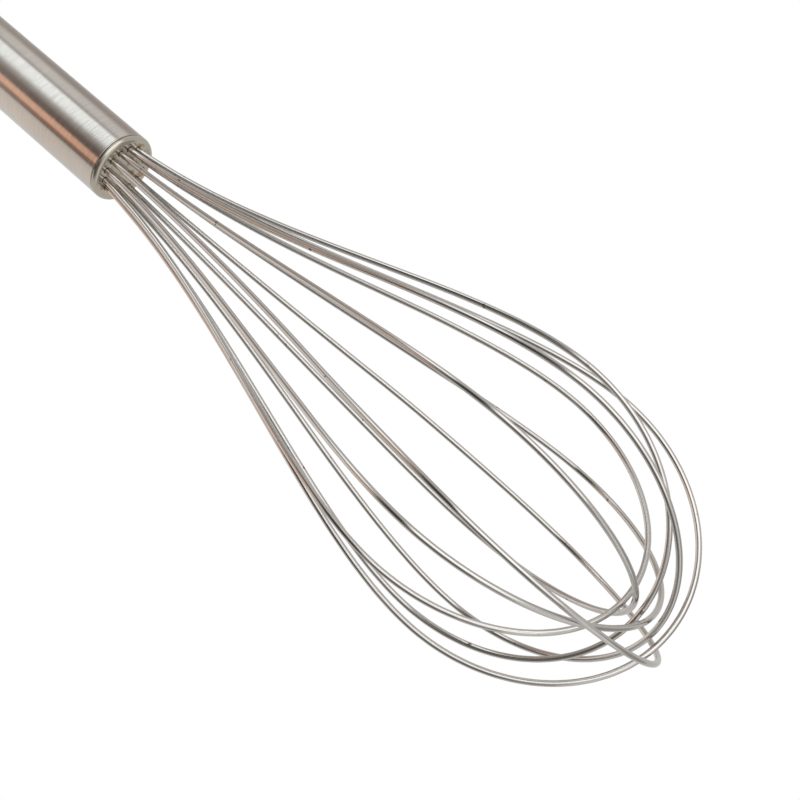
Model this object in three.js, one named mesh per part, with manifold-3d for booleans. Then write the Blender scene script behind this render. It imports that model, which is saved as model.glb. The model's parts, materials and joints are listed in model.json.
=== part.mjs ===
// A balloon whisk lying on a table, in millimetres and degrees.
// It is built along +X: X = 0 is the front cap's end face, the wires lie at +X and the handle at -X.
// At the end it is tipped to the slope at which it rests, and set down on Z = 0.

import * as THREE from 'three';
import { mergeVertices } from 'three/addons/utils/BufferGeometryUtils.js';
import Module from 'manifold-3d';

const wasm = await Module();
wasm.setup();

// Handle tube and its two caps
const HANDLE_DIAMETER = 20;
const TUBE_WALL = 0.8;
const TUBE_LENGTH = 112;
const FRONT_HEAD = 1.5;
const FRONT_EDGE_RADIUS = 1.3;
const FRONT_SPIGOT = 6;
const REAR_HEAD = 3.6;
const REAR_EDGE_RADIUS = 3.2;
const REAR_SPIGOT = 8;
const SEAM_GAP = 0.3;
const SPIGOT_CLEARANCE = 0.3;

// What holds the wire ends inside the tube
const SEAL_LENGTH = 5;
const ANCHOR_THICKNESS = 2;
const STACK_GAP = 0.3;
const TAIL_PAST_ANCHOR = 3;

// Wires: every loop leaves the cap through two opposite holes of one ring
const WIRE_DIAMETER = 1.5;
const HOLE_CLEARANCE = 0.3;
const HOLE_RING_RADIUS = 6.7;
const OUTER_REACH = 188;
const NEST_STEP = 2.4;
const CROWN_LENGTH = 45;
const FLARE_ANGLE = 4.4;
// Bezier handles, as shares of the stretch that each one shapes
const FLARE_PULL = 0.38;
const BELLY_PULL = 0.245;
const SHOULDER_PULL = 0.56;
const TIP_PULL = 0.55;

// One entry for each loop, in order round the axis. nest counts the steps that its tip lies inside
// the outermost reach. The last three are its hand-bent unevenness at the tip: lean in the loop's plane,
// sway across it, and twist in degrees.
const WIRE_LOOPS = [
  { halfWidth: 34.5, nest: 0, lean: -0.5, sway: -5.5, twist: 6 },
  { halfWidth: 41.5, nest: 3, lean: -1, sway: 1.5, twist: -3 },
  { halfWidth: 35, nest: 6, lean: 0.5, sway: -1, twist: 5 },
  { halfWidth: 37, nest: 1, lean: 1, sway: -3, twist: 0 },
  { halfWidth: 36.5, nest: 4, lean: 1, sway: 1, twist: 0 },
  { halfWidth: 37, nest: 2, lean: 1.5, sway: -1, twist: -3 },
  { halfWidth: 33.5, nest: 5, lean: 1.5, sway: -1, twist: 2 },
];

// Hang ring and the eyelet that carries it
const RING_RADIUS = 11;
const RING_WIRE_DIAMETER = 2.2;
const RING_CLEARANCE = 0.5;
const EYELET_WIDTH = 8;
const EYELET_THICKNESS = 3;
const EYELET_REACH = 5;
const RING_TABLE_GAP = 0.3;

// Facets
const ROUND_SIDES = 40;
const ARC_STEPS = 5;
const HOLE_SIDES = 12;
const WIRE_SIDES = 8;
const WIRE_STEPS = 72;
const RING_STEPS = 32;
const RING_SIDES = 10;

// Derived places along the axis and across it
const HANDLE_RADIUS = HANDLE_DIAMETER / 2;
const WIRE_RADIUS = WIRE_DIAMETER / 2;
const RING_WIRE_RADIUS = RING_WIRE_DIAMETER / 2;
const BORE_RADIUS = HANDLE_RADIUS - TUBE_WALL;
const SPIGOT_RADIUS = BORE_RADIUS - SPIGOT_CLEARANCE;
const TUBE_FRONT = -FRONT_HEAD - SEAM_GAP;
const TUBE_REAR = TUBE_FRONT - TUBE_LENGTH;
const SPIGOT_END = -FRONT_HEAD - FRONT_SPIGOT;
const SEAL_FRONT = SPIGOT_END - STACK_GAP;
const SEAL_REAR = SEAL_FRONT - SEAL_LENGTH;
const ANCHOR_FRONT = SEAL_REAR - STACK_GAP;
const ANCHOR_REAR = ANCHOR_FRONT - ANCHOR_THICKNESS;
const WIRE_END = ANCHOR_REAR - TAIL_PAST_ANCHOR;
const REAR_SHOULDER = TUBE_REAR - SEAM_GAP;
const REAR_FACE = REAR_SHOULDER - REAR_HEAD;
const RING_PIVOT = REAR_FACE - EYELET_REACH;

const radians = THREE.MathUtils.degToRad;

const satinSteel = new THREE.MeshStandardMaterial({ color: 0xb8b2aa, roughness: 0.32, metalness: 1 });
const polishedSteel = new THREE.MeshStandardMaterial({ color: 0xd6d2cb, roughness: 0.14, metalness: 1 });
const springSteel = new THREE.MeshStandardMaterial({ color: 0xdcdad6, roughness: 0.1, metalness: 1 });
const plainSteel = new THREE.MeshStandardMaterial({ color: 0xa9a6a1, roughness: 0.45, metalness: 1 });
const castResin = new THREE.MeshStandardMaterial({ color: 0x8f8b80, roughness: 0.7, metalness: 0 });

// Solids

// Keeps only positions, joins shared corners and drops the slivers that a pole leaves behind.
function weld(geometry) {
  const bare = geometry.clone();
  bare.deleteAttribute('normal');
  bare.deleteAttribute('uv');
  const welded = mergeVertices(bare, 1e-4);
  const corners = welded.index.array;
  const kept = [];
  for (let i = 0; i < corners.length; i += 3) {
    const [a, b, c] = [corners[i], corners[i + 1], corners[i + 2]];
    if (a !== b && b !== c && c !== a) kept.push(a, b, c);
  }
  welded.setIndex(kept);
  return welded;
}

function solidOf(geometry) {
  const welded = weld(geometry);
  return new wasm.Manifold(new wasm.Mesh({
    numProp: 3,
    vertProperties: new Float32Array(welded.attributes.position.array),
    triVerts: new Uint32Array(welded.index.array),
  }));
}

function geometryOf(solid) {
  const mesh = solid.getMesh();
  const geometry = new THREE.BufferGeometry();
  geometry.setAttribute('position', new THREE.BufferAttribute(new Float32Array(mesh.vertProperties), 3));
  geometry.setIndex(Array.from(mesh.triVerts));
  geometry.computeVertexNormals();
  return geometry;
}

function named(name, geometry, material) {
  const mesh = new THREE.Mesh(geometry, material);
  mesh.name = name;
  return mesh;
}

// Turns an outline of [place along the axis, radius] pairs about the X axis.
function revolve(outline) {
  const profile = outline.map(([along, radius]) => new THREE.Vector2(radius, along));
  const geometry = new THREE.LatheGeometry(profile, ROUND_SIDES);
  geometry.rotateZ(-Math.PI / 2);
  return weld(geometry);
}

// Quarter round from one outline point to the next, about a centre.
function quarterRound(alongCentre, radiusCentre, radius, fromAngle, toAngle) {
  const points = [];
  for (let i = 0; i <= ARC_STEPS; i += 1) {
    const angle = radians(fromAngle + (toAngle - fromAngle) * i / ARC_STEPS);
    points.push([alongCentre + radius * Math.cos(angle), radiusCentre + radius * Math.sin(angle)]);
  }
  return points;
}

// Angle of a loop's plane round the axis. The middle loop lies level.
function loopAzimuth(index) {
  return (index - (WIRE_LOOPS.length - 1) / 2) * Math.PI / WIRE_LOOPS.length;
}

// Bores the ring of wire holes through a solid that lies between two places on the axis.
function drillWireHoles(geometry, rear, front) {
  const length = front - rear + 2 * HANDLE_DIAMETER;
  const radius = WIRE_RADIUS + HOLE_CLEARANCE;
  let solid = solidOf(geometry);
  for (let i = 0; i < 2 * WIRE_LOOPS.length; i += 1) {
    const angle = loopAzimuth(i);
    const drill = new THREE.CylinderGeometry(radius, radius, length, HOLE_SIDES);
    drill.rotateZ(-Math.PI / 2);
    drill.translate(
      (front + rear) / 2,
      HOLE_RING_RADIUS * Math.cos(angle),
      HOLE_RING_RADIUS * Math.sin(angle),
    );
    solid = solid.subtract(solidOf(drill));
  }
  return geometryOf(solid);
}

// Handle

function makeHandleTube() {
  return revolve([
    [TUBE_REAR, BORE_RADIUS],
    [TUBE_REAR, HANDLE_RADIUS],
    [TUBE_FRONT, HANDLE_RADIUS],
    [TUBE_FRONT, BORE_RADIUS],
    [TUBE_REAR, BORE_RADIUS],
  ]);
}

function makeFrontCap() {
  const edge = quarterRound(-FRONT_EDGE_RADIUS, HANDLE_RADIUS - FRONT_EDGE_RADIUS, FRONT_EDGE_RADIUS, 90, 0);
  const blank = revolve([
    [SPIGOT_END, 0],
    [SPIGOT_END, SPIGOT_RADIUS],
    [-FRONT_HEAD, SPIGOT_RADIUS],
    [-FRONT_HEAD, HANDLE_RADIUS],
    ...edge,
    [0, 0],
  ]);
  return drillWireHoles(blank, SPIGOT_END, 0);
}

function makeDrilledDisc(rear, front) {
  const blank = revolve([[rear, 0], [rear, SPIGOT_RADIUS], [front, SPIGOT_RADIUS], [front, 0]]);
  return drillWireHoles(blank, rear, front);
}

// Flat tongue behind the rear cap, with a round end and the hole that the ring runs through.
function makeEyelet() {
  const root = REAR_FACE + REAR_HEAD / 2;
  const half = EYELET_WIDTH / 2;
  const outline = new THREE.Shape();
  outline.moveTo(root, -half);
  outline.lineTo(root, half);
  outline.lineTo(RING_PIVOT, half);
  outline.absarc(RING_PIVOT, 0, half, Math.PI / 2, 3 * Math.PI / 2, false);
  const hole = new THREE.Path();
  hole.absarc(RING_PIVOT, 0, RING_WIRE_RADIUS + RING_CLEARANCE, 0, 2 * Math.PI, true);
  outline.holes.push(hole);
  const plate = new THREE.ExtrudeGeometry(outline, {
    depth: EYELET_THICKNESS,
    bevelEnabled: false,
    curveSegments: HOLE_SIDES,
  });
  plate.rotateX(Math.PI / 2);
  plate.translate(0, EYELET_THICKNESS / 2, 0);
  return plate;
}

function makeRearCap() {
  const edge = quarterRound(
    REAR_FACE + REAR_EDGE_RADIUS, HANDLE_RADIUS - REAR_EDGE_RADIUS, REAR_EDGE_RADIUS, 180, 90,
  );
  const dome = revolve([
    [REAR_FACE, 0],
    ...edge,
    [REAR_SHOULDER, HANDLE_RADIUS],
    [REAR_SHOULDER, SPIGOT_RADIUS],
    [REAR_SHOULDER + REAR_SPIGOT, SPIGOT_RADIUS],
    [REAR_SHOULDER + REAR_SPIGOT, 0],
  ]);
  return geometryOf(solidOf(dome).add(solidOf(makeEyelet())));
}

// Wires

// The centre line of one loop: tail, flare, belly and crown out to the tip, and the same way back.
class LoopPath extends THREE.Curve {
  constructor(spec, index) {
    super();
    this.arcLengthDivisions = 600;
    this.spec = spec;
    this.azimuth = loopAzimuth(index);
    this.reach = OUTER_REACH - spec.nest * NEST_STEP;
    this.half = this.makeHalf();
  }

  // Half of the loop as a flat curve: x is the place along the axis, y the distance from it.
  makeHalf() {
    const { halfWidth } = this.spec;
    const belly = this.reach - CROWN_LENGTH;
    const flare = FLARE_PULL * belly;
    const exit = new THREE.Vector2(0, HOLE_RING_RADIUS);
    const widest = new THREE.Vector2(belly, halfWidth);
    const half = new THREE.CurvePath();
    half.add(new THREE.LineCurve(new THREE.Vector2(WIRE_END, HOLE_RING_RADIUS), exit));
    half.add(new THREE.CubicBezierCurve(
      exit,
      new THREE.Vector2(flare, HOLE_RING_RADIUS + flare * Math.tan(radians(FLARE_ANGLE))),
      new THREE.Vector2(belly * (1 - BELLY_PULL), halfWidth),
      widest,
    ));
    half.add(new THREE.CubicBezierCurve(
      widest,
      new THREE.Vector2(belly + SHOULDER_PULL * CROWN_LENGTH, halfWidth),
      new THREE.Vector2(this.reach, TIP_PULL * halfWidth),
      new THREE.Vector2(this.reach, 0),
    ));
    return half;
  }

  getPoint(t, target = new THREE.Vector3()) {
    const outward = t <= 0.5;
    const flat = this.half.getPoint(outward ? 2 * t : 2 - 2 * t);
    const share = Math.max(flat.x, 0) / this.reach;
    const bend = share * share;
    const across = (outward ? flat.y : -flat.y) + this.spec.lean * bend;
    const aside = this.spec.sway * bend;
    const angle = this.azimuth + radians(this.spec.twist) * Math.min(1, 2 * share);
    return target.set(
      flat.x,
      across * Math.cos(angle) - aside * Math.sin(angle),
      across * Math.sin(angle) + aside * Math.cos(angle),
    );
  }
}

function makeWire(path) {
  const corners = [];
  for (let i = 0; i < WIRE_SIDES; i += 1) {
    const angle = 2 * Math.PI * i / WIRE_SIDES;
    corners.push(new THREE.Vector2(WIRE_RADIUS * Math.cos(angle), WIRE_RADIUS * Math.sin(angle)));
  }
  return new THREE.ExtrudeGeometry(new THREE.Shape(corners), {
    steps: WIRE_STEPS,
    extrudePath: path,
    bevelEnabled: false,
  });
}

// Lying on the table

// Height of the lowest of some points, once the whisk is tipped up at its front end.
function lowestHeight(points, tilt) {
  return Math.min(...points.map((p) => p.x * Math.sin(tilt) + p.z * Math.cos(tilt)));
}

// The slope at which the wires and the rear cap's round edge touch the table together.
function restingTilt(wirePoints) {
  const rearEdge = [new THREE.Vector3(REAR_FACE + REAR_EDGE_RADIUS, 0, REAR_EDGE_RADIUS - HANDLE_RADIUS)];
  let low = 0;
  let high = radians(30);
  for (let i = 0; i < 40; i += 1) {
    const tilt = (low + high) / 2;
    const wiresLift = lowestHeight(wirePoints, tilt) - WIRE_RADIUS;
    const rearLift = lowestHeight(rearEdge, tilt) - REAR_EDGE_RADIUS;
    if (wiresLift < rearLift) low = tilt;
    else high = tilt;
  }
  return low;
}

const whisk = new THREE.Group();
whisk.add(named('handle_tube', makeHandleTube(), satinSteel));
whisk.add(named('front_cap', makeFrontCap(), polishedSteel));
whisk.add(named('sealing_plug', makeDrilledDisc(SEAL_REAR, SEAL_FRONT), castResin));
whisk.add(named('anchor_disc', makeDrilledDisc(ANCHOR_REAR, ANCHOR_FRONT), plainSteel));
whisk.add(named('rear_cap', makeRearCap(), polishedSteel));

const paths = WIRE_LOOPS.map((spec, index) => new LoopPath(spec, index));
paths.forEach((path, index) => whisk.add(named(`wire_loop_${index + 1}`, makeWire(path), springSteel)));

const wirePoints = paths.flatMap((path) => path.getSpacedPoints(WIRE_STEPS));
const tilt = restingTilt(wirePoints);
const table = lowestHeight(wirePoints, tilt) - WIRE_RADIUS;

// The ring hangs from its eyelet until its far side lies on the table.
const pivotHeight = RING_PIVOT * Math.sin(tilt) - table;
const ringSlope = Math.asin((pivotHeight - RING_WIRE_RADIUS - RING_TABLE_GAP) / (2 * RING_RADIUS));
const ringTurn = new THREE.Group();
ringTurn.position.x = RING_PIVOT;
ringTurn.rotation.y = tilt - ringSlope;
const ringGeometry = new THREE.TorusGeometry(RING_RADIUS, RING_WIRE_RADIUS, RING_SIDES, RING_STEPS);
ringGeometry.translate(-RING_RADIUS, 0, 0);
ringTurn.add(named('hang_ring', ringGeometry, polishedSteel));
whisk.add(ringTurn);

// Tip the whisk to its slope, stand it on Z = 0 and centre it on the origin.
whisk.rotation.y = -tilt;
whisk.updateMatrixWorld(true);
const box = new THREE.Box3().setFromObject(whisk, true);
whisk.position.set(-(box.min.x + box.max.x) / 2, -(box.min.y + box.max.y) / 2, -box.min.z);

const part = new THREE.Group();
part.add(whisk);

export default part;
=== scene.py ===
"""A balloon whisk lying on a white sweep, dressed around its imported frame.

Sizes are in metres. Every piece is modelled in the whisk's own axes, where X = 0 is the front cap's
end face, the wires lie at +X and the handle at -X, and is then laid in the frame as one mesh.
"""

import json
import logging
import math
from collections.abc import Callable, Iterator
from contextlib import contextmanager
from dataclasses import dataclass, replace
from enum import Enum

import bmesh
import bpy
from mathutils import Matrix, Vector


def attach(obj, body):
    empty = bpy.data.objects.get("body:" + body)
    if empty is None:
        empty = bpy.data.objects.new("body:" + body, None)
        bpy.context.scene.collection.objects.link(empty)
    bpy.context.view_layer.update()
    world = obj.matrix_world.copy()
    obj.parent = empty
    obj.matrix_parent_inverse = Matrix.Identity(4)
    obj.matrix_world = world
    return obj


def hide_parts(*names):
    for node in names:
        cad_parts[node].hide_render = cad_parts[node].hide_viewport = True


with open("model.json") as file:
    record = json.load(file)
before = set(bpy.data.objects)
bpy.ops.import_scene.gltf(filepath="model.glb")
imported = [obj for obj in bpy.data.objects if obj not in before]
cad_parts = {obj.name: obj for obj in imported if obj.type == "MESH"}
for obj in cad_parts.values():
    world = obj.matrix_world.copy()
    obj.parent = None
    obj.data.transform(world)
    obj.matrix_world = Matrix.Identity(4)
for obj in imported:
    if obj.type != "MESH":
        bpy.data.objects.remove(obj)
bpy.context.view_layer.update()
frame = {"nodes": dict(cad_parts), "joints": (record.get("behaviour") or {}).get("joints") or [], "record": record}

LOG = logging.getLogger("whisk")
PHOTO_SIDE = 800
SENSOR_WIDTH = 36.0

Colour = tuple[float, float, float]
Piece = bpy.types.Object
Socket = bpy.types.NodeSocket


class Body(Enum):
    """The two bodies of the frame."""

    WHISK = "whisk"
    RING = "ring"


class Slot(Enum):
    """Material slots of the record that the scene's pieces use."""

    SATIN = "satin_steel"
    POLISHED = "polished_steel"
    SPRING = "spring_steel"
    PLAIN = "plain_steel"
    RESIN = "cast_resin"


class Grain(Enum):
    """Which way the fine lines of a metal finish run, as stretches of the noise along X, Y and Z."""

    AROUND = (26.0, 1.0, 1.0)
    ALONG = (1.0, 40.0, 40.0)
    NONE = (1.0, 1.0, 1.0)


class Lie(Enum):
    """Which way a round bar lies, as the turn of an upright cylinder."""

    ALONG = (0.0, math.pi / 2, 0.0)
    ACROSS = (math.pi / 2, 0.0, 0.0)


class End(Enum):
    """The two ends of a piece, by the way that they face along the axis."""

    FRONT = 1.0
    REAR = -1.0


class Combine(Enum):
    """What a tool object does to a piece, as Blender names it."""

    JOIN = "UNION"
    CUT = "DIFFERENCE"


class Stretch(Enum):
    """Where a panel stands, as the share of its direction along the axis: -1 is behind, 1 past the tip."""

    REAR = (-1.2, -0.69)
    HANDLE = (-0.69, -0.545)
    DIM = (-0.545, -0.3)
    MIDDLE = (-0.3, 0.4)
    AHEAD = (0.4, 0.7)
    FAR_END = (0.7, 1.2)


class Bench:
    """Modelling moves that the sub-assemblies share.

    TIGHT is the distance within which a point counts as on a circle or a plane. SQUARE is how squarely an
    end has to look along the axis, where 1 is fully.
    """

    TIGHT = 2e-5
    SQUARE = 0.99
    SMOOTH_ANGLE = math.radians(35.0)

    @staticmethod
    def pick(*objects: Piece) -> None:
        """Leaves only these objects selected, the first one active.

        Args:
            objects: what to select.
        """
        bpy.ops.object.select_all(action="DESELECT")
        for obj in objects:
            obj.select_set(True)
        bpy.context.view_layer.objects.active = objects[0]

    @staticmethod
    @contextmanager
    def editing(obj: Piece) -> Iterator[None]:
        """Opens a piece in edit mode with nothing selected, and closes it again.

        Args:
            obj: the piece.
        """
        Bench.pick(obj)
        bpy.ops.object.mode_set(mode="EDIT")
        bpy.ops.mesh.select_all(action="DESELECT")
        yield
        bpy.ops.object.mode_set(mode="OBJECT")

    @staticmethod
    def bar(name: str, radius: float, length: float, middle: float, lie: Lie, sides: int) -> Piece:
        """Adds a closed round bar that is centred on the whisk's axis.

        Args:
            name: name of the new object.
            radius: radius of the bar.
            length: length of the bar.
            middle: place of its middle on the axis.
            lie: which way it lies.
            sides: number of sides.

        Returns:
            The bar, with its place in its mesh.
        """
        bpy.ops.object.select_all(action="DESELECT")
        bpy.ops.mesh.primitive_cylinder_add(
            vertices=sides, radius=radius, depth=length, location=(middle, 0.0, 0.0), rotation=lie.value
        )
        bar = bpy.context.object
        bar.name = name
        bpy.ops.object.transform_apply(location=True, rotation=True, scale=True)
        return bar

    @staticmethod
    def rod(name: str, radius: float, start: float, end: float, sides: int) -> Piece:
        """Adds a round bar along the axis from its rear end, the start, to its front end."""
        return Bench.bar(name, radius, end - start, (start + end) / 2, Lie.ALONG, sides)

    @staticmethod
    def select_edges(obj: Piece, test: Callable[[Vector], bool]) -> None:
        """Selects edges, in edit mode.

        Args:
            obj: the piece that is open.
            test: what both ends of an edge have to pass.
        """
        bpy.ops.mesh.select_mode(type="EDGE")
        bpy.ops.mesh.select_all(action="DESELECT")
        mesh = bmesh.from_edit_mesh(obj.data)
        for edge in mesh.edges:
            if all(test(corner.co) for corner in edge.verts):
                edge.select_set(True)
        bmesh.update_edit_mesh(obj.data)

    @staticmethod
    def select_ends(obj: Piece, *ends: End) -> None:
        """Selects the faces that look squarely along the axis, in edit mode.

        Args:
            obj: the piece that is open.
            ends: which of its ends to select.
        """
        bpy.ops.mesh.select_mode(type="FACE")
        bpy.ops.mesh.select_all(action="DESELECT")
        mesh = bmesh.from_edit_mesh(obj.data)
        for face in mesh.faces:
            if any(face.normal.x * end.value > Bench.SQUARE for end in ends):
                face.select_set(True)
        bmesh.update_edit_mesh(obj.data)

    @staticmethod
    def rim(place: float, radius: float) -> Callable[[Vector], bool]:
        """Makes the test for points on a circle round the axis.

        Args:
            place: place of the circle on the axis.
            radius: radius of the circle.

        Returns:
            The test.
        """

        def on_rim(point: Vector) -> bool:
            """Says whether a point lies on the circle."""
            off_radius = abs(math.hypot(point.y, point.z) - radius)
            return abs(point.x - place) < Bench.TIGHT and off_radius < Bench.TIGHT

        return on_rim

    @staticmethod
    def round_edges(radius: float, segments: int) -> None:
        """Rounds the selected edges, in edit mode."""
        bpy.ops.mesh.bevel(offset=radius, segments=segments, profile=0.5, affect="EDGES")

    @staticmethod
    def push(x: float) -> None:
        """Extrudes what is selected along the axis, in edit mode."""
        bpy.ops.mesh.extrude_region_move(TRANSFORM_OT_translate={"value": (x, 0.0, 0.0)})

    @staticmethod
    def combine(target: Piece, tool: Piece, way: Combine) -> None:
        """Joins a tool object to a piece or cuts it away, and removes the tool.

        Args:
            target: the piece.
            tool: the tool object.
            way: what the tool does.
        """
        Bench.pick(target)
        modifier = target.modifiers.new("combine", "BOOLEAN")
        modifier.operation = way.value
        modifier.solver = "EXACT"
        modifier.object = tool
        bpy.ops.object.modifier_apply(modifier=modifier.name)
        bpy.data.objects.remove(tool, do_unlink=True)

    @staticmethod
    def smooth(obj: Piece) -> None:
        """Shades a piece smooth over shallow edges and keeps its flat faces flat.

        Args:
            obj: the piece.
        """
        Bench.pick(obj)
        bpy.ops.object.shade_smooth_by_angle(angle=Bench.SMOOTH_ANGLE)
        modifier = obj.modifiers.new("flats", "WEIGHTED_NORMAL")
        modifier.keep_sharp = True
        bpy.ops.object.modifier_apply(modifier=modifier.name)

    @staticmethod
    def lay(obj: Piece, matrix: Matrix) -> None:
        """Moves a piece and puts its new place in its mesh.

        Args:
            obj: the piece.
            matrix: the move.
        """
        Bench.pick(obj)
        obj.matrix_world = matrix @ obj.matrix_world
        bpy.ops.object.transform_apply(location=True, rotation=True, scale=True)


class NodeBoard:
    """Adds nodes to a tree and links them in a few words.

    A Mix node has sockets of the same name for numbers, vectors and colours, so those for colours are
    found by their order.
    """

    MIX_COLOUR_INPUTS = (0, 6, 7)
    MIX_COLOUR_OUTPUT = 2

    def __init__(self, tree: bpy.types.NodeTree) -> None:
        """Starts on an emptied tree."""
        self.tree = tree
        tree.nodes.clear()

    @classmethod
    def for_material(cls, name: str) -> tuple[bpy.types.Material, "NodeBoard"]:
        """Starts a new material.

        Args:
            name: name of the material.

        Returns:
            The material and its board.
        """
        material = bpy.data.materials.new(name)
        material.use_nodes = True
        return material, cls(material.node_tree)

    def add(self, kind: str, **inputs: object) -> bpy.types.Node:
        """Adds a node and fills its inputs.

        Args:
            kind: the node's type, as Blender names it.
            inputs: an input's name, with _ for spaces, and a value or an output socket for it.

        Returns:
            The node.
        """
        node = self.tree.nodes.new(kind)
        for name, value in inputs.items():
            self.put(node.inputs[name.replace("_", " ")], value)
        return node

    def put(self, socket: Socket, value: object) -> None:
        """Links an output to an input, or sets the input's value.

        Args:
            socket: the input.
            value: an output socket or a value.
        """
        if isinstance(value, bpy.types.NodeSocket):
            self.tree.links.new(value, socket)
        else:
            socket.default_value = value

    def math(self, operation: str, *values: object) -> Socket:
        """Adds a Math node.

        Args:
            operation: what it does, as Blender names it.
            values: values or output sockets for its inputs.

        Returns:
            Its result.
        """
        node = self.tree.nodes.new("ShaderNodeMath")
        node.operation = operation
        for socket, value in zip(node.inputs, values):
            self.put(socket, value)
        return node.outputs[0]

    def product(self, first: Socket, *others: Socket) -> Socket:
        """Multiplies outputs with each other and returns the result."""
        for other in others:
            first = self.math("MULTIPLY", first, other)
        return first

    def dot(self, vector: Socket, direction: Vector) -> Socket:
        """Adds a dot product.

        Args:
            vector: an output.
            direction: the fixed direction to measure it along.

        Returns:
            Its value.
        """
        node = self.tree.nodes.new("ShaderNodeVectorMath")
        node.operation = "DOT_PRODUCT"
        for socket, value in zip(node.inputs, (vector, direction)):
            self.put(socket, value)
        return node.outputs["Value"]

    def noise(self, place: Socket, scale: float, detail: float) -> Socket:
        """Adds a noise at a place and returns its value from 0 to 1."""
        return self.add("ShaderNodeTexNoise", Vector=place, Scale=scale, Detail=detail).outputs["Fac"]

    def spread(self, value: Socket, low: float, high: float) -> Socket:
        """Maps 0 to 1 on to a range and returns the result."""
        return self.add("ShaderNodeMapRange", Value=value, To_Min=low, To_Max=high).outputs["Result"]

    def step(self, value: Socket, off: float, full: float) -> Socket:
        """Maps a range on to 0 to 1 with soft ends.

        Args:
            value: the output to map.
            off: where the result is 0.
            full: where the result is 1.

        Returns:
            The result.
        """
        node = self.add("ShaderNodeMapRange", Value=value, From_Min=off, From_Max=full)
        node.interpolation_type = "SMOOTHSTEP"
        return node.outputs["Result"]

    def blend(self, share: Socket, under: Socket | Colour, over: Colour) -> Socket:
        """Lays a colour over another.

        Args:
            share: how far the upper colour covers the lower one.
            under: the lower colour.
            over: the upper colour.

        Returns:
            The blended colour.
        """
        node = self.tree.nodes.new("ShaderNodeMix")
        node.data_type = "RGBA"
        lower = under if isinstance(under, bpy.types.NodeSocket) else (*under, 1.0)
        for index, value in zip(self.MIX_COLOUR_INPUTS, (share, lower, (*over, 1.0))):
            self.put(node.inputs[index], value)
        return node.outputs[self.MIX_COLOUR_OUTPUT]

    def ramp(self, value: Socket, dark: tuple[float, Colour], light: tuple[float, Colour]) -> Socket:
        """Adds a colour ramp.

        Args:
            value: where on the ramp to read.
            dark: its lower place from 0 to 1, and the colour there.
            light: its upper place, and the colour there.

        Returns:
            The ramp's colour.
        """
        node = self.add("ShaderNodeValToRGB", Fac=value)
        for element, (place, colour) in zip(node.color_ramp.elements, (dark, light)):
            element.position = place
            element.color = (*colour, 1.0)
        return node.outputs["Color"]

    def surface(self, height: Socket, strength: float, depth: float, **inputs: object) -> None:
        """Adds the material's surface with a fine relief.

        Args:
            height: height of the relief, from 0 to 1.
            strength: strength of the relief.
            depth: depth of the relief.
            inputs: the shader's other inputs, as for add.
        """
        relief = self.add("ShaderNodeBump", Height=height, Strength=strength, Distance=depth)
        shader = self.add("ShaderNodeBsdfPrincipled", Normal=relief.outputs["Normal"], **inputs)
        self.add("ShaderNodeOutputMaterial", Surface=shader.outputs["BSDF"])


def mount_place(name: str) -> Vector:
    """Finds the place of one of the record's mounts."""
    places = {mount["name"]: mount["pos_m"] for mount in frame["record"]["mounts"]}
    return Vector(places[name])


def ring_pivot() -> Vector:
    """Finds the place of the hang ring's joint."""
    return Vector(frame["joints"][0]["pos_m"])


def level_turn(along: Vector) -> Matrix:
    """Makes the turn that lays X along a direction and keeps Y level."""
    side = Vector((0.0, 1.0, 0.0))
    return Matrix((along, side, along.cross(side))).transposed().to_4x4()


@dataclass(frozen=True)
class Handle:
    """Sizes of the handle, the two caps and the ring's eyelet, as in the frame."""

    diameter: float = 0.020
    wall: float = 0.0008
    tube_length: float = 0.112
    front_head: float = 0.0015
    front_edge: float = 0.0013
    front_spigot: float = 0.006
    rear_head: float = 0.0036
    rear_edge: float = 0.0032
    rear_spigot: float = 0.008
    seam: float = 0.0003
    spigot_clearance: float = 0.0003
    eyelet_width: float = 0.008
    eyelet_thickness: float = 0.003
    eyelet_reach: float = 0.005
    ring_wire: float = 0.0022
    ring_clearance: float = 0.0005

    @property
    def radius(self) -> float:
        """Outer radius of the tube."""
        return self.diameter / 2

    @property
    def spigot_radius(self) -> float:
        """Radius of what is pressed into the tube."""
        return self.radius - self.wall - self.spigot_clearance

    @property
    def tube_front(self) -> float:
        """Place of the tube's front end on the axis."""
        return -self.front_head - self.seam

    @property
    def tube_rear(self) -> float:
        """Place of the tube's rear end on the axis."""
        return self.tube_front - self.tube_length

    @property
    def rear_shoulder(self) -> float:
        """Place of the rear cap's front edge on the axis."""
        return self.tube_rear - self.seam

    @property
    def rear_face(self) -> float:
        """Place of the rear cap's end on the axis."""
        return self.rear_shoulder - self.rear_head

    @property
    def pivot(self) -> float:
        """Place of the hang ring's pivot on the axis."""
        return self.rear_face - self.eyelet_reach


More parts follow.
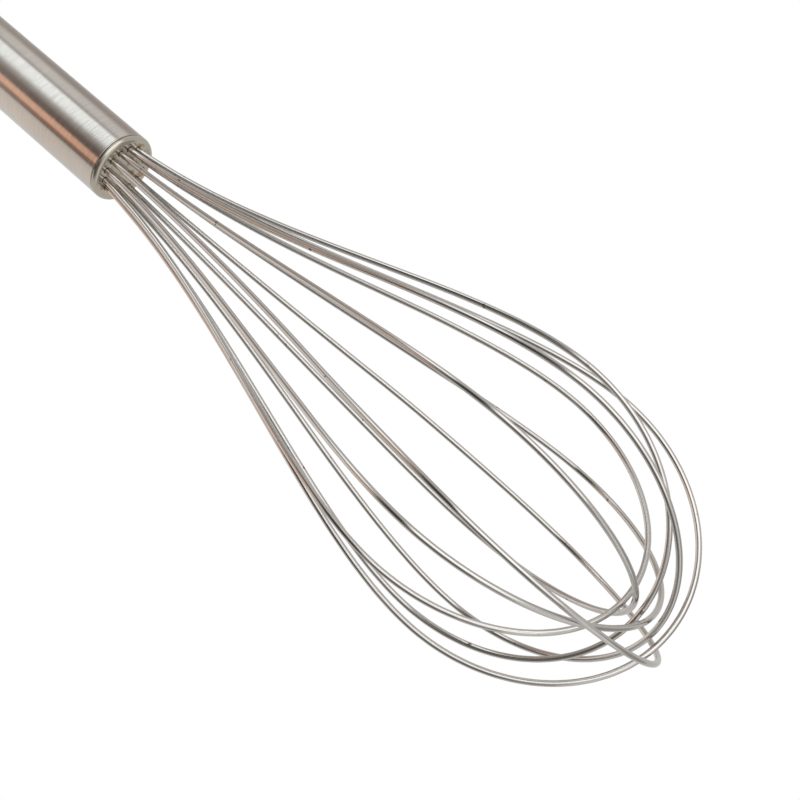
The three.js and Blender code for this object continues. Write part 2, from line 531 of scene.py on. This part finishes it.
@dataclass(frozen=True)
class WhiskAxes:
    """The whisk's own axes, laid in the frame.

    Args:
        matrix: turns a point of the whisk's axes into a point of the frame.
    """

    matrix: Matrix

    @classmethod
    def from_frame(cls, handle: Handle) -> "WhiskAxes":
        """Finds the axes from the ring's joint and the grip mount, which both lie on the axis.

        Args:
            handle: sizes that say how far the pivot lies behind the front face.

        Returns:
            The axes.
        """
        pivot = ring_pivot()
        along = (mount_place("handle_grip") - pivot).normalized()
        return cls(Matrix.Translation(pivot - along * handle.pivot) @ level_turn(along))

    def direction(self, x: float, y: float, z: float) -> Vector:
        """Turns a direction of the whisk's axes into one of the frame."""
        return self.matrix.to_3x3() @ Vector((x, y, z))

    def surface_place(self, board: NodeBoard) -> Socket:
        """Adds the nodes that give a piece's points in the whisk's axes.

        Args:
            board: the material's nodes.

        Returns:
            The place of a point.
        """
        turned = board.add(
            "ShaderNodeMapping",
            Vector=board.add("ShaderNodeTexCoord").outputs["Object"],
            Location=self.matrix.to_translation(),
            Rotation=self.matrix.to_euler(),
        )
        turned.vector_type = "TEXTURE"
        return turned.outputs["Vector"]


@dataclass(frozen=True)
class Stain:
    """Brown marks of use on the front face and the wires before it.

    Args:
        colour: colour of the marks.
        outer: distance from the axis up to which they lie.
        soft: width over which they fade.
        patches: how fine the marks are, in patches for each metre.
        spread: values of the noise between which a mark fades in.
        detail: finer layers of the noise.
    """

    colour: Colour = (0.34, 0.23, 0.13)
    outer: float = 0.0082
    soft: float = 0.0008
    patches: float = 450.0
    spread: tuple[float, float] = (0.46, 0.72)
    detail: float = 3.0

    def cover(self, board: NodeBoard, place: Socket) -> Socket:
        """Says how far the marks cover a point.

        Args:
            board: the material's nodes.
            place: the point in the whisk's axes.

        Returns:
            The cover, from 0 to 1.
        """
        parts = board.add("ShaderNodeSeparateXYZ", Vector=place).outputs
        squares = [board.math("MULTIPLY", parts[name], parts[name]) for name in ("Y", "Z")]
        radius = board.math("SQRT", board.math("ADD", *squares))
        within = board.step(radius, self.outer + self.soft, self.outer)
        on_face = board.step(parts["X"], -self.soft, -self.soft / 2)
        marks = board.step(board.noise(place, self.patches, self.detail), *self.spread)
        return board.product(within, on_face, marks)


@dataclass(frozen=True)
class SteelFinish:
    """One finish of bare steel, with fine lines and the soft marks of handling.

    Args:
        name: name of its material.
        slot: the record's slot that it belongs to; not used.
        dark: colour in the hollows of the grain.
        light: colour on the crests of the grain.
        roughness: least and greatest roughness.
        grain: which way its fine lines run.
        lines: how fine the lines are, in lines for each metre.
        relief: strength of the lines' relief.
        stain: marks of use on it, if it has any.
    """

    LINE_DETAIL = 6.0
    LINE_SHARE = 0.6
    HANDLING_PATCHES = 55.0
    HANDLING_DETAIL = 3.0
    DARK_PLACE = 0.3
    LIGHT_PLACE = 0.7
    RELIEF_DEPTH = 0.0001

    name: str
    slot: Slot
    dark: Colour
    light: Colour
    roughness: tuple[float, float]
    grain: Grain
    lines: float
    relief: float
    stain: Stain | None = None

    def material(self, axes: WhiskAxes) -> bpy.types.Material:
        """Builds the finish as nodes.

        Args:
            axes: the whisk's axes, along which the grain is turned.

        Returns:
            The material.
        """
        material, board = NodeBoard.for_material(self.name)
        place = axes.surface_place(board)
        stretched = board.add("ShaderNodeMapping", Vector=place, Scale=self.grain.value)
        lines = board.noise(stretched.outputs["Vector"], self.lines, self.LINE_DETAIL)
        handling = board.noise(place, self.HANDLING_PATCHES, self.HANDLING_DETAIL)
        handling_share = board.math("MULTIPLY", handling, 1.0 - self.LINE_SHARE)
        mixed = board.math("MULTIPLY_ADD", lines, self.LINE_SHARE, handling_share)
        colour = board.ramp(mixed, (self.DARK_PLACE, self.dark), (self.LIGHT_PLACE, self.light))
        if self.stain:
            colour = board.blend(self.stain.cover(board, place), colour, self.stain.colour)
        board.surface(
            lines,
            self.relief,
            self.RELIEF_DEPTH,
            Base_Color=colour,
            Roughness=board.spread(mixed, *self.roughness),
            Metallic=1.0,
        )
        return material


@dataclass(frozen=True)
class ResinFinish:
    """The matt, speckled surface of the cast filler that seals the front of the tube."""

    slot: Slot = Slot.RESIN
    dark: Colour = (0.42, 0.40, 0.36)
    dark_place: float = 0.35
    light: Colour = (0.62, 0.60, 0.55)
    light_place: float = 0.65
    speckle: float = 900.0
    detail: float = 4.0
    roughness: tuple[float, float] = (0.55, 0.8)
    relief: float = 0.2
    relief_depth: float = 0.0002

    def material(self) -> bpy.types.Material:
        """Builds the finish as nodes.

        Returns:
            The material.
        """
        material, board = NodeBoard.for_material(self.slot.value)
        place = board.add("ShaderNodeTexCoord").outputs["Object"]
        speckle = board.noise(place, self.speckle, self.detail)
        board.surface(
            speckle,
            self.relief,
            self.relief_depth,
            Base_Color=board.ramp(speckle, (self.dark_place, self.dark), (self.light_place, self.light)),
            Roughness=board.spread(speckle, *self.roughness),
        )
        return material


Finish = SteelFinish | ResinFinish

SATIN_STEEL = SteelFinish(
    name="satin_steel",
    slot=Slot.SATIN,
    dark=(0.50, 0.47, 0.44),
    light=(0.60, 0.57, 0.54),
    roughness=(0.13, 0.19),
    grain=Grain.AROUND,
    lines=120.0,
    relief=0.25,
)
POLISHED_STEEL = SteelFinish(
    name="polished_steel",
    slot=Slot.POLISHED,
    dark=(0.56, 0.52, 0.45),
    light=(0.68, 0.64, 0.56),
    roughness=(0.1, 0.16),
    grain=Grain.AROUND,
    lines=90.0,
    relief=0.02,
)
# The front cap's polished steel is drawn darker than the rear cap's. This is painted shade that dims its rim and
# face reflections among the wires. Its brown stains are real marks of use.
STAINED_AND_SHADED_STEEL = replace(
    POLISHED_STEEL,
    name="stained_and_shaded_steel",
    dark=(0.48, 0.44, 0.38),
    light=(0.58, 0.54, 0.47),
    stain=Stain(),
)
SPRING_STEEL = SteelFinish(
    name="spring_steel",
    slot=Slot.SPRING,
    dark=(0.54, 0.52, 0.50),
    light=(0.66, 0.64, 0.62),
    roughness=(0.08, 0.15),
    grain=Grain.ALONG,
    lines=90.0,
    relief=0.02,
    stain=Stain(colour=(0.22, 0.14, 0.075), outer=0.05, patches=420.0, spread=(0.69, 0.75)),
)
PLAIN_STEEL = SteelFinish(
    name="plain_steel",
    slot=Slot.PLAIN,
    dark=(0.42, 0.41, 0.40),
    light=(0.56, 0.55, 0.53),
    roughness=(0.35, 0.5),
    grain=Grain.NONE,
    lines=900.0,
    relief=0.1,
)
CAST_RESIN = ResinFinish()
STEELS = (SATIN_STEEL, POLISHED_STEEL, STAINED_AND_SHADED_STEEL, SPRING_STEEL, PLAIN_STEEL)


class Workshop:
    """Dresses the pieces and lets them ride on their bodies."""

    def __init__(self, axes: WhiskAxes) -> None:
        """Makes every finish once, with its grain along the whisk's axes."""
        self.axes = axes
        self.materials: dict[Finish, bpy.types.Material] = {steel: steel.material(axes) for steel in STEELS}
        self.materials[CAST_RESIN] = CAST_RESIN.material()

    def coat(self, piece: Piece, finish: Finish) -> None:
        """Gives a piece its finish and no other."""
        piece.data.materials.clear()
        piece.data.materials.append(self.materials[finish])

    def dress(self, piece: Piece, node: str, body: Body, finish: Finish) -> None:
        """Gives a new piece its finish and lets it stand for a node of the frame.

        Args:
            piece: the new piece.
            node: the node that it replaces.
            body: the body that it rides on.
            finish: the piece's finish.
        """
        self.coat(piece, finish)
        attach(piece, body.value)
        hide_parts(node)
        LOG.info("%s stands for %s, %d faces", piece.name, node, len(piece.data.polygons))

    def dress_node(self, node: str, finish: Finish) -> None:
        """Gives a node of the frame its finish and leaves it in view.

        Args:
            node: the node.
            finish: its finish.
        """
        solid = frame["nodes"][node]
        self.coat(solid, finish)
        LOG.info("%s keeps its solid", node)


@dataclass(frozen=True)
class LoopShape:
    """One wire loop's own shape.

    Args:
        half_width: half of the loop's greatest width.
        nest: steps that its tip lies inside the outermost reach.
        lean: shift of the tip in the loop's plane.
        sway: shift of the tip across the loop's plane.
        twist: turn of the loop's outer half about the axis, in degrees.
    """

    half_width: float
    nest: int
    lean: float
    sway: float
    twist: float


LOOPS = (
    LoopShape(0.0345, 0, -0.0005, -0.0055, 6.0),
    LoopShape(0.0415, 3, -0.0010, 0.0015, -3.0),
    LoopShape(0.0350, 6, 0.0005, -0.0010, 5.0),
    LoopShape(0.0370, 1, 0.0010, -0.0030, 0.0),
    LoopShape(0.0365, 4, 0.0010, 0.0010, 0.0),
    LoopShape(0.0370, 2, 0.0015, -0.0010, -3.0),
    LoopShape(0.0335, 5, 0.0015, -0.0010, 2.0),
)


@dataclass(frozen=True)
class Balloon:
    """The nest of wire loops.

    The half outline of a loop is a straight tail in the cap, a flaring stretch out to the belly and a
    crown round to the tip. The pulls are the shares of a stretch that its curve handles reach, and the
    twist is full from a share of the reach on.
    """

    wire_diameter: float = 0.0015
    hole_clearance: float = 0.00012
    hole_flare: float = 0.0001
    hole_ring_radius: float = 0.0067
    outer_reach: float = 0.188
    nest_step: float = 0.0024
    crown_length: float = 0.045
    tail_end: float = -0.0181
    flare_angle: float = 4.4
    flare_pull: float = 0.38
    belly_pull: float = 0.245
    shoulder_pull: float = 0.56
    tip_pull: float = 0.55
    full_twist_share: float = 0.5
    flare_points: int = 14
    crown_points: int = 14
    steps_between_points: int = 6
    steps_round_wire: int = 6

    def add(self, workshop: Workshop) -> None:
        """Builds the wires and dresses them.

        Args:
            workshop: where they are dressed.
        """
        for index in range(len(LOOPS)):
            wire = self.build_wire(index, workshop.axes)
            workshop.dress(wire, f"wire_loop_{index + 1}", Body.WHISK, SPRING_STEEL)

    @staticmethod
    def azimuth(index: int) -> float:
        """Angle of a loop's plane round the axis. The middle loop lies level."""
        return (index - (len(LOOPS) - 1) / 2) * math.pi / len(LOOPS)

    @staticmethod
    def bezier(corners: list[Vector], share: float) -> Vector:
        """Finds a point of a cubic curve.

        Args:
            corners: the curve's ends, with its two handles between them.
            share: the point's share of the stretch, from 0 to 1.

        Returns:
            The point.
        """
        rest = 1.0 - share
        weights = (rest**3, 3 * rest**2 * share, 3 * rest * share**2, share**3)
        return sum((corner * weight for corner, weight in zip(corners, weights)), Vector((0.0, 0.0)))

    def reach(self, shape: LoopShape) -> float:
        """Place of a loop's tip on the axis."""
        return self.outer_reach - shape.nest * self.nest_step

    def half_outline(self, shape: LoopShape) -> list[Vector]:
        """Lists a loop's outline from its tail to its tip.

        Args:
            shape: the loop's own shape.

        Returns:
            Points with the place along the axis and the distance from it.
        """
        ring, width = self.hole_ring_radius, shape.half_width
        reach = self.reach(shape)
        belly = reach - self.crown_length
        flare = self.flare_pull * belly
        slope = math.tan(math.radians(self.flare_angle))
        rise = [
            Vector((0.0, ring)),
            Vector((flare, ring + flare * slope)),
            Vector((belly * (1.0 - self.belly_pull), width)),
            Vector((belly, width)),
        ]
        crown = [
            Vector((belly, width)),
            Vector((belly + self.shoulder_pull * self.crown_length, width)),
            Vector((reach, self.tip_pull * width)),
            Vector((reach, 0.0)),
        ]
        points = [Vector((self.tail_end, ring)), Vector((self.tail_end / 2, ring))]
        points += [self.bezier(rise, i / self.flare_points) for i in range(self.flare_points)]
        points += [self.bezier(crown, i / self.crown_points) for i in range(self.crown_points + 1)]
        return points

    def route(self, index: int) -> list[Vector]:
        """Lists the centre line of a loop, out to the tip and back, in the whisk's axes.

        Args:
            index: which loop, from 0.

        Returns:
            The points of the centre line.
        """
        shape = LOOPS[index]
        reach = self.reach(shape)
        half = self.half_outline(shape)
        there_and_back = [(p, 1.0) for p in half] + [(p, -1.0) for p in reversed(half[:-1])]
        points = []
        for flat, side in there_and_back:
            share = max(flat.x, 0.0) / reach
            across = side * flat.y + shape.lean * share**2
            aside = shape.sway * share**2
            twisted = min(1.0, share / self.full_twist_share)
            angle = self.azimuth(index) + math.radians(shape.twist) * twisted
            y = across * math.cos(angle) - aside * math.sin(angle)
            z = across * math.sin(angle) + aside * math.cos(angle)
            points.append(Vector((flat.x, y, z)))
        return points

    def build_wire(self, index: int, axes: WhiskAxes) -> Piece:
        """Bends one wire round its loop.

        Args:
            index: which loop, from 0.
            axes: the whisk's axes.

        Returns:
            The wire as a mesh in the frame.
        """
        bpy.ops.object.select_all(action="DESELECT")
        bpy.ops.curve.primitive_bezier_curve_add()
        wire = bpy.context.object
        wire.name = f"wire_{index + 1}"
        route = self.route(index)
        spline = wire.data.splines[0]
        spline.bezier_points.add(len(route) - len(spline.bezier_points))
        for knot, point in zip(spline.bezier_points, route):
            knot.co = point
            knot.handle_left_type = knot.handle_right_type = "AUTO"
        wire.data.resolution_u = self.steps_between_points
        wire.data.bevel_depth = self.wire_diameter / 2
        wire.data.bevel_resolution = self.steps_round_wire
        wire.data.use_fill_caps = True
        bpy.ops.object.convert(target="MESH")
        wire = bpy.context.object
        Bench.lay(wire, axes.matrix)
        return wire


@dataclass(frozen=True)
class HandleTube:
    """The satin tube of the handle."""

    handle: Handle
    sides: int = 160
    lip: float = 0.00015
    lip_segments: int = 3

    def add(self, workshop: Workshop) -> None:
        """Builds the tube and dresses it."""
        workshop.dress(self.build(workshop.axes), "handle_tube", Body.WHISK, SATIN_STEEL)

    def build(self, axes: WhiskAxes) -> Piece:
        """Bores a bar out to a tube with softened ends.

        Args:
            axes: the whisk's axes.

        Returns:
            The tube, laid in the frame.
        """
        handle = self.handle
        front, rear = handle.tube_front, handle.tube_rear
        tube = Bench.rod("handle_tube_satin", handle.radius, rear, front, self.sides)
        with Bench.editing(tube):
            Bench.select_ends(tube, End.FRONT, End.REAR)
            bpy.ops.mesh.delete(type="ONLY_FACE")
        Bench.pick(tube)
        wall = tube.modifiers.new("wall", "SOLIDIFY")
        wall.thickness = handle.wall
        wall.offset = -1.0
        bpy.ops.object.modifier_apply(modifier=wall.name)
        on_front, on_rear = Bench.rim(front, handle.radius), Bench.rim(rear, handle.radius)
        with Bench.editing(tube):
            Bench.select_edges(tube, lambda point: on_front(point) or on_rear(point))
            Bench.round_edges(self.lip, self.lip_segments)
        Bench.smooth(tube)
        Bench.lay(tube, axes.matrix)
        return tube


@dataclass(frozen=True)
class FrontCap:
    """The drilled cap that the wires leave by."""

    handle: Handle
    balloon: Balloon
    sides: int = 128
    edge_segments: int = 12
    drill_sides: int = 32

    def add(self, workshop: Workshop) -> None:
        """Builds the cap and dresses it."""
        # The cap's steel is a darker copy of the polished steel: painted shade among the wires, with real brown
        # stains.
        workshop.dress(self.build(workshop.axes), "front_cap", Body.WHISK, STAINED_AND_SHADED_STEEL)

    def build(self, axes: WhiskAxes) -> Piece:
        """Turns, rounds and drills the cap.

        Args:
            axes: the whisk's axes.

        Returns:
            The cap, laid in the frame.
        """
        handle = self.handle
        cap = Bench.rod("front_cap_drilled", handle.radius, -handle.front_head, 0.0, self.sides)
        with Bench.editing(cap):
            Bench.select_edges(cap, Bench.rim(0.0, handle.radius))
            Bench.round_edges(handle.front_edge, self.edge_segments)
            Bench.select_ends(cap, End.REAR)
            bpy.ops.mesh.inset(thickness=handle.radius - handle.spigot_radius)
            Bench.push(-handle.front_spigot)
        Bench.combine(cap, self.build_drills(), Combine.CUT)
        Bench.smooth(cap)
        Bench.lay(cap, axes.matrix)
        return cap

    def build_drills(self) -> Piece:
        """Makes the ring of drills, each with a flared shoulder for the hole's edge.

        Returns:
            The drills as one object.
        """
        balloon = self.balloon
        flare = balloon.hole_flare
        radius = balloon.wire_diameter / 2 + balloon.hole_clearance
        wider = 1.0 + 2 * flare / radius
        rear = -self.handle.front_head - self.handle.front_spigot - self.handle.radius
        ring = balloon.hole_ring_radius
        drills = []
        for place in range(2 * len(LOOPS)):
            angle = balloon.azimuth(place)
            drill = Bench.rod(f"drill_{place}", radius, rear, -flare, self.drill_sides)
            with Bench.editing(drill):
                Bench.select_ends(drill, End.FRONT)
                Bench.push(2 * flare)
                bpy.ops.transform.resize(value=(1.0, wider, wider), center_override=(flare, 0.0, 0.0))
                Bench.push(self.handle.radius)
            Bench.lay(drill, Matrix.Translation((0.0, ring * math.cos(angle), ring * math.sin(angle))))
            drills.append(drill)
        Bench.pick(*drills)
        bpy.ops.object.join()
        return drills[0]


@dataclass(frozen=True)
class RearCap:
    """The closed end cap with the eyelet that carries the ring."""

    handle: Handle
    sides: int = 128
    edge_segments: int = 14
    tongue_sides: int = 96
    hole_sides: int = 64
    soft_edge: float = 0.0004
    soft_segments: int = 4
    soft_from_angle: float = 60.0

    def add(self, workshop: Workshop) -> None:
        """Builds the cap and dresses it."""
        workshop.dress(self.build(workshop.axes), "rear_cap", Body.WHISK, POLISHED_STEEL)

    def build(self, axes: WhiskAxes) -> Piece:
        """Turns the dome and joins the eyelet to it.

        Args:
            axes: the whisk's axes.

        Returns:
            The cap, laid in the frame.
        """
        handle = self.handle
        face, shoulder = handle.rear_face, handle.rear_shoulder
        cap = Bench.rod("rear_cap_domed", handle.radius, face, shoulder, self.sides)
        with Bench.editing(cap):
            Bench.select_edges(cap, Bench.rim(face, handle.radius))
            Bench.round_edges(handle.rear_edge, self.edge_segments)
            Bench.select_ends(cap, End.FRONT)
            bpy.ops.mesh.inset(thickness=handle.radius - handle.spigot_radius)
            Bench.push(handle.rear_spigot)
        Bench.combine(cap, self.build_eyelet(), Combine.JOIN)
        Bench.smooth(cap)
        Bench.lay(cap, axes.matrix)
        return cap

    def build_eyelet(self) -> Piece:
        """Makes the flat tongue with its round end, its hole and softened edges.

        Returns:
            The tongue, with its root inside the dome.
        """
        handle = self.handle
        pivot, thickness = handle.pivot, handle.eyelet_thickness
        root = handle.rear_face + handle.rear_head / 2
        tongue = Bench.bar(
            "eyelet", handle.eyelet_width / 2, thickness, pivot, Lie.ACROSS, self.tongue_sides
        )
        with Bench.editing(tongue):
            bpy.ops.mesh.select_all(action="SELECT")
            bpy.ops.mesh.bisect(
                plane_co=(pivot, 0.0, 0.0), plane_no=(1.0, 0.0, 0.0), clear_outer=True, use_fill=True
            )
            Bench.select_ends(tongue, End.FRONT)
            Bench.push(root - pivot)
        hole_radius = handle.ring_wire / 2 + handle.ring_clearance
        drill = Bench.bar("drill", hole_radius, handle.diameter, pivot, Lie.ACROSS, self.hole_sides)
        Bench.combine(tongue, drill, Combine.CUT)
        self.soften(tongue)
        return tongue

    def soften(self, tongue: Piece) -> None:
        """Rounds the tongue's long edges and the rims of its hole.

        Args:
            tongue: the bored tongue.
        """
        Bench.pick(tongue)
        edge = tongue.modifiers.new("soft edge", "BEVEL")
        edge.width = self.soft_edge
        edge.segments = self.soft_segments
        edge.limit_method = "ANGLE"
        edge.angle_limit = math.radians(self.soft_from_angle)
        bpy.ops.object.modifier_apply(modifier=edge.name)


@dataclass(frozen=True)
class HangRing:
    """The wire ring at the rear, closed by a butt joint."""

    handle: Handle
    radius: float = 0.011
    turns: int = 144
    sides: int = 32
    joint_turn: int = 36
    joint_width: float = 0.00012
    joint_segments: int = 2

    def add(self, workshop: Workshop) -> None:
        """Builds the ring and dresses it."""
        ring = self.build(ring_pivot(), mount_place("hang_ring_eye"))
        workshop.dress(ring, "hang_ring", Body.RING, POLISHED_STEEL)

    def build(self, pivot: Vector, centre: Vector) -> Piece:
        """Bends the ring and marks its joint.

        Args:
            pivot: the joint's point, on the ring's wire.
            centre: the ring's middle.

        Returns:
            The ring, laid in the frame.
        """
        bpy.ops.object.select_all(action="DESELECT")
        bpy.ops.mesh.primitive_torus_add(
            major_radius=self.radius,
            minor_radius=self.handle.ring_wire / 2,
            major_segments=self.turns,
            minor_segments=self.sides,
        )
        ring = bpy.context.object
        ring.name = "hang_ring_bent"
        angle = 2 * math.pi * self.joint_turn / self.turns
        with Bench.editing(ring):
            self.select_section(ring, angle)
            Bench.round_edges(self.joint_width, self.joint_segments)
            self.select_section(ring, angle)
            bpy.ops.transform.shrink_fatten(value=-self.joint_width)
        Bench.pick(ring)
        bpy.ops.object.shade_smooth()
        Bench.lay(ring, Matrix.Translation(centre) @ level_turn((pivot - centre).normalized()))
        return ring

    @staticmethod
    def select_section(ring: Piece, angle: float) -> None:
        """Selects the circle of edges where a plane through the ring's axis cuts its wire.

        Args:
            ring: the ring, open in edit mode.
            angle: where the plane stands round the ring.
        """
        across = Vector((-math.sin(angle), math.cos(angle), 0.0))
        outward = Vector((math.cos(angle), math.sin(angle), 0.0))
        Bench.select_edges(ring, lambda p: abs(p.dot(across)) < Bench.TIGHT and p.dot(outward) > 0.0)


@dataclass(frozen=True)
class HiddenCore:
    """What lies inside the tube behind the cap and keeps its solids from the frame."""

    plug: str = "sealing_plug"
    disc: str = "anchor_disc"

    def add(self, workshop: Workshop) -> None:
        """Dresses the plug and the disc."""
        workshop.dress_node(self.plug, CAST_RESIN)
        workshop.dress_node(self.disc, PLAIN_STEEL)


@dataclass(frozen=True)
class Panel:
    """One soft panel of the studio, which the steel mirrors.

    Without angles it stands all round. It fades over STRETCH_FADE on both sides of its stretch's ends.

    Args:
        stretch: where it stands along the axis.
        colour: its radiance.
        start: angle round the handle at which it starts, in degrees from the camera's side.
        end: angle at which it ends.
        fade_before: how far it fades out before its start, in degrees.
        fade_after: how far it fades out past its end, in degrees.
    """

    STRETCH_FADE = 0.04

    stretch: Stretch
    colour: Colour
    start: float = -179.0
    end: float = 179.0
    fade_before: float = 1.0
    fade_after: float = 1.0

    def cover(self, board: NodeBoard, around: Socket, along: Socket) -> Socket:
        """Says how far the panel covers a direction.

        Args:
            board: the studio's nodes.
            around: the direction's angle round the handle, in degrees.
            along: the direction's share along the handle.

        Returns:
            The cover, from 0 to 1.
        """
        low, high = self.stretch.value
        return board.product(
            board.step(around, self.start - self.fade_before, self.start),
            board.step(around, self.end + self.fade_after, self.end),
            board.step(along, low - self.STRETCH_FADE, low + self.STRETCH_FADE),
            board.step(along, high + self.STRETCH_FADE, high - self.STRETCH_FADE),
        )


PANELS = (
    # Behind the handle: a warm grey wall, a pale panel on its left and a dim one by the camera.
    Panel(Stretch.REAR, (0.52, 0.47, 0.43)),
    Panel(Stretch.REAR, (1.0, 0.94, 0.9), -150.0, -52.0, 20.0, 50.0),
    Panel(Stretch.REAR, (0.39, 0.35, 0.32), 6.0, 40.0, 24.0, 40.0),
    # Beside the handle, from left to right: a pale wall with a cream side, a dark card with a copper strip
    # that has a dull edge, a white light with a grey bar, a second, weaker light, and a grey card.
    Panel(Stretch.HANDLE, (0.8, 0.79, 0.77)),
    Panel(Stretch.HANDLE, (0.96, 0.87, 0.79), -105.0, -70.0, 40.0, 9.0),
    Panel(Stretch.HANDLE, (0.17, 0.11, 0.085), -58.0, -14.0, 6.0, 33.0),
    Panel(Stretch.HANDLE, (0.44, 0.23, 0.15), -54.0, -44.0, 4.0, 3.0),
    Panel(Stretch.HANDLE, (1.3, 0.78, 0.545), -43.5, -28.0, 3.5, 6.0),
    Panel(Stretch.HANDLE, (1.74, 1.85, 1.89), 29.0, 52.0, 22.0, 11.0),
    Panel(Stretch.HANDLE, (0.54, 0.54, 0.53), 62.0, 64.0, 5.0, 7.0),
    Panel(Stretch.HANDLE, (0.95, 0.92, 0.89), 74.0, 86.0, 7.0, 30.0),
    Panel(Stretch.HANDLE, (0.45, 0.41, 0.375), 117.0, 132.0, 22.0, 50.0),
    # By the cap: a dark card.
    Panel(Stretch.DIM, (0.07, 0.066, 0.06), -50.0, 2.0, 36.0, 64.0),
    # Over the wires: a dark card on the left and a white light on the right, both weaker towards the tip.
    Panel(Stretch.MIDDLE, (0.14, 0.135, 0.13), -64.0, -36.0, 30.0, 34.0),
    Panel(Stretch.MIDDLE, (1.7, 1.7, 1.68), 16.0, 50.0, 26.0, 20.0),
    Panel(Stretch.AHEAD, (0.34, 0.33, 0.32), -70.0, -40.0, 26.0, 28.0),
    Panel(Stretch.AHEAD, (1.6, 1.58, 1.55), 6.0, 36.0, 20.0, 24.0),
    # Past the tip: a grey wall with a pale panel on it.
    Panel(Stretch.FAR_END, (0.4, 0.39, 0.38)),
    Panel(Stretch.FAR_END, (0.84, 0.83, 0.81), -110.0, 40.0, 40.0, 40.0),
)


@dataclass(frozen=True)
class Studio:
    """Floor, surroundings and camera.

    Args:
        slope: how far the whisk's axis runs down across the picture, in degrees.
        rise: how far its tip comes towards the camera, in degrees.
        roll: turn of the whisk about its axis, in degrees.
        cap_pixel: where the front cap's centre lies in the picture.
        cap_depth: depth of that centre below the camera.
        focal_pixels: focal length in pixels of the picture.
        floor_side: length and width of the floor, and the dome's diameter.
        floor_drop: how far the floor lies below the whisk.
        dome_segments: sides of the dome.
        dome_rings: rings of the dome.
        room: radiance of the room between the panels.
    """

    slope: float = 40.83
    rise: float = 19.56
    roll: float = 10.53
    cap_pixel: tuple[float, float] = (124.76, 170.3)
    cap_depth: float = 0.35744
    focal_pixels: float = 1331.4
    floor_side: float = 30.0
    floor_drop: float = 0.0004
    dome_segments: int = 48
    dome_rings: int = 24
    room: Colour = (0.68, 0.67, 0.65)

    def build(self, axes: WhiskAxes) -> None:
        """Builds the floor, the surroundings and the camera.

        Args:
            axes: the whisk's axes, round which the studio is set out.
        """
        self.build_sweep()
        self.build_surroundings(axes)
        self.build_camera(axes)

    def round_axis(self, axes: WhiskAxes) -> tuple[Vector, Vector]:
        """Finds the two directions square to the axis that the studio is set out by.

        Args:
            axes: the whisk's axes.

        Returns:
            The direction to the picture's upper right and the one to the camera's side.
        """
        roll = math.radians(self.roll)
        side = axes.direction(0.0, math.cos(roll), math.sin(roll))
        facing = axes.direction(0.0, -math.sin(roll), math.cos(roll))
        return side, facing

    def build_sweep(self) -> None:
        """Lays the white floor and the white dome that it runs into. The steel mirrors neither."""
        bpy.ops.object.select_all(action="DESELECT")
        bpy.ops.mesh.primitive_plane_add(size=self.floor_side, location=(0.0, 0.0, -self.floor_drop))
        floor = bpy.context.object
        floor.name = "floor"
        bpy.ops.object.select_all(action="DESELECT")
        bpy.ops.mesh.primitive_uv_sphere_add(
            segments=self.dome_segments, ring_count=self.dome_rings, radius=self.floor_side / 2
        )
        dome = bpy.context.object
        dome.name = "backdrop"
        material, board = NodeBoard.for_material("white_sweep")
        glow = board.add("ShaderNodeEmission", Color=(1.0, 1.0, 1.0, 1.0), Strength=1.0)
        board.add("ShaderNodeOutputMaterial", Surface=glow.outputs["Emission"])
        for piece in (floor, dome):
            piece.data.materials.append(material)
            piece.visible_glossy = False

    def build_surroundings(self, axes: WhiskAxes) -> None:
        """Sets the soft studio light: a pale room with the panels standing in it.

        Args:
            axes: the whisk's axes, round which the panels stand.
        """
        side, facing = self.round_axis(axes)
        world = bpy.data.worlds.new("studio")
        world.use_nodes = True
        bpy.context.scene.world = world
        board = NodeBoard(world.node_tree)
        ray = board.add("ShaderNodeTexCoord").outputs["Generated"]
        turn = board.math("ARCTAN2", board.dot(ray, side), board.dot(ray, facing))
        around = board.math("DEGREES", turn)
        along = board.dot(ray, axes.direction(1.0, 0.0, 0.0))
        colour = self.room
        for panel in PANELS:
            colour = board.blend(panel.cover(board, around, along), colour, panel.colour)
        light = board.add("ShaderNodeBackground", Color=colour, Strength=1.0)
        board.add("ShaderNodeOutputWorld", Surface=light.outputs["Background"])

    def build_camera(self, axes: WhiskAxes) -> None:
        """Sets the camera at the photograph's viewing angle.

        Args:
            axes: the whisk's axes.
        """
        slope, rise = math.radians(self.slope), math.radians(self.rise)
        side, facing = self.round_axis(axes)
        along = axes.direction(1.0, 0.0, 0.0)
        flat = along * math.cos(rise) - facing * math.sin(rise)
        right = flat * math.cos(slope) + side * math.sin(slope)
        down = flat * math.sin(slope) - side * math.cos(slope)
        forward = right.cross(down)
        middle = PHOTO_SIDE / 2
        shift = [(pixel - middle) / self.focal_pixels * self.cap_depth for pixel in self.cap_pixel]
        cap = axes.matrix.to_translation()
        place = cap - right * shift[0] - down * shift[1] - forward * self.cap_depth
        lens = bpy.data.cameras.new("photo_camera")
        lens.sensor_width = SENSOR_WIDTH
        lens.lens = self.focal_pixels / PHOTO_SIDE * SENSOR_WIDTH
        camera = bpy.data.objects.new("photo_camera", lens)
        bpy.context.scene.collection.objects.link(camera)
        turn = Matrix((right, -down, -forward)).transposed().to_4x4()
        camera.matrix_world = Matrix.Translation(place) @ turn
        bpy.context.scene.camera = camera


def main() -> None:
    """Builds the whisk piece by piece, and the studio round it."""
    logging.basicConfig(level=logging.INFO, format="%(name)s: %(message)s")
    bpy.context.scene.view_settings.view_transform = "Standard"
    handle, balloon = Handle(), Balloon()
    axes = WhiskAxes.from_frame(handle)
    workshop = Workshop(axes)
    HandleTube(handle).add(workshop)
    FrontCap(handle, balloon).add(workshop)
    RearCap(handle).add(workshop)
    balloon.add(workshop)
    HangRing(handle).add(workshop)
    HiddenCore().add(workshop)
    Studio().build(axes)


if __name__ == "__main__":
    main()
